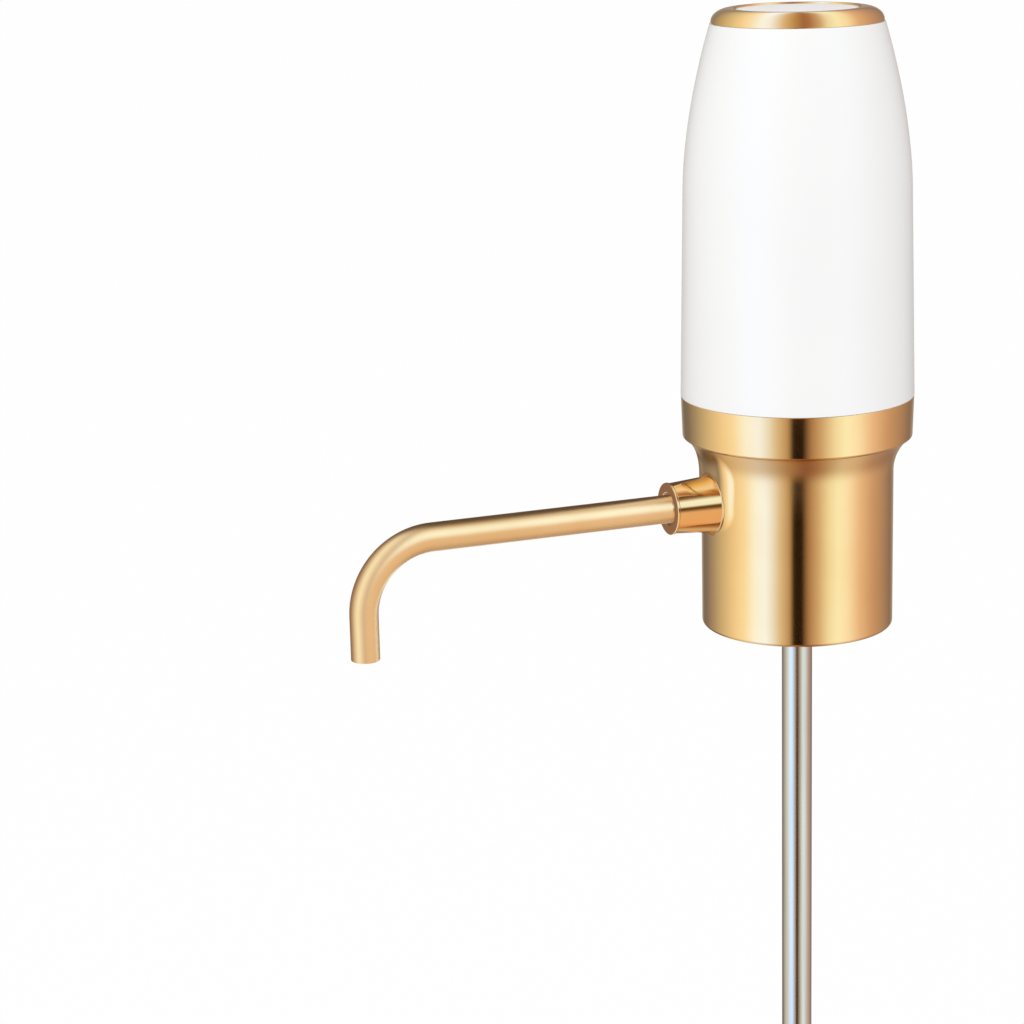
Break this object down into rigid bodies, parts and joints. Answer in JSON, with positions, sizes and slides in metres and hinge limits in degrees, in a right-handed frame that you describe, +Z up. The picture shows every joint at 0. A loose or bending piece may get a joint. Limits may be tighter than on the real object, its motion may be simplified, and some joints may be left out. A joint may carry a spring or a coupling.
{
  "type": "electric wine aerator",
  "caption": "Battery wine aerator and dispenser: bullet-shaped white housing with gold bands and a push button, on a bottle cup with a bent pouring spout and a suction tube.",
  "frame": {"origin": "centre of the bottle's mouth, in the plane where the bottle's lip meets the stopper", "axes": "+Z up along the housing's axis, -X along the spout as it is at rest, +X to the charging socket at the back"},
  "size_m": [0.134, 0.0526, 0.2811],
  "materials": {
    "polished_gold": "polished champagne gold",
    "satin_gold": "satin champagne gold",
    "white_gloss": "gloss white",
    "black_plastic": "moulded black",
    "milky_plastic": "natural, slightly milky",
    "rubber": "soft black",
    "silicone": "soft white",
    "steel": "bright stainless",
    "circuit_board": "green solder mask",
    "cell_sleeve": "blue heat-shrink sleeve",
    "copper": "copper winding",
    "red_wire": "red insulation",
    "black_wire": "black insulation"
  },
  "bodies": {
    "housing": {"air_hose": "silicone", "base_plate": "black_plastic", "base_screw_1": "steel", "base_screw_2": "steel", "base_screw_3": "steel", "battery_cell": "cell_sleeve", "battery_lead_1": "black_wire", "battery_lead_2": "red_wire", "bottle_cup": "polished_gold", "bottle_stopper": "silicone", "button_board": "circuit_board", "button_spring": "steel", "charge_port": "steel", "check_valve": "rubber", "dip_tube_gland": "rubber", "dip_tube_upper": "steel", "housing_band": "polished_gold", "housing_seal": "rubber", "inner_frame": "black_plastic", "main_board": "circuit_board", "manifold_block": "black_plastic", "motor_can": "steel", "motor_cap": "black_plastic", "motor_cushion": "rubber", "motor_lead_1": "red_wire", "motor_lead_2": "black_wire", "pump_body": "milky_plastic", "pump_cover": "milky_plastic", "pump_diaphragm": "rubber", "pump_screw_1": "steel", "pump_screw_2": "steel", "pump_screw_3": "steel", "switch_lead": "red_wire", "tact_switch": "black_plastic", "top_ring": "polished_gold", "upper_housing": "white_gloss", "valve_plate": "black_plastic"},
    "button": {"power_button": "white_gloss", "switch_plunger": "milky_plastic"},
    "spout": {"spout_tube": "satin_gold", "spout_collar": "polished_gold", "spout_o_ring_1": "rubber", "spout_o_ring_2": "rubber"},
    "crank": {"motor_rotor": "copper", "crank_wheel": "black_plastic", "crank_pin": "steel"},
    "rocker": {"pump_rocker": "milky_plastic"},
    "lower_tube": {"dip_tube_lower": "steel", "dip_tube_foot": "silicone"}
  },
  "joints": [
    {"name": "button_press", "type": "slide", "parent": "housing", "child": "button", "axis": [0, 0, -1], "range_m": [0, 0.001], "stiffness_N_per_m": 800, "springref_m": -0.0015, "deforming": ["button_spring"]},
    {"name": "spout_turn", "type": "hinge", "parent": "housing", "child": "spout", "pos_m": [0, 0, 0.0095], "axis": [-1, 0, 0], "continuous": true},
    {"name": "motor_spin", "type": "hinge", "parent": "housing", "child": "crank", "pos_m": [-0.005, -0.006, 0.049], "axis": [0, 0, 1], "continuous": true},
    {"name": "rocker_wobble", "type": "hinge", "parent": "crank", "child": "rocker", "pos_m": [-0.005, -0.006, 0.0405], "axis": [0.1045, 0, 0.9945], "continuous": true},
    {"name": "dip_tube_extend", "type": "slide", "parent": "housing", "child": "lower_tube", "axis": [0, 0, -1], "range_m": [0, 0.112]}
  ],
  "couplings": [
    {"joint": "rocker_wobble", "follows": "motor_spin", "ratio": -1}
  ]
}
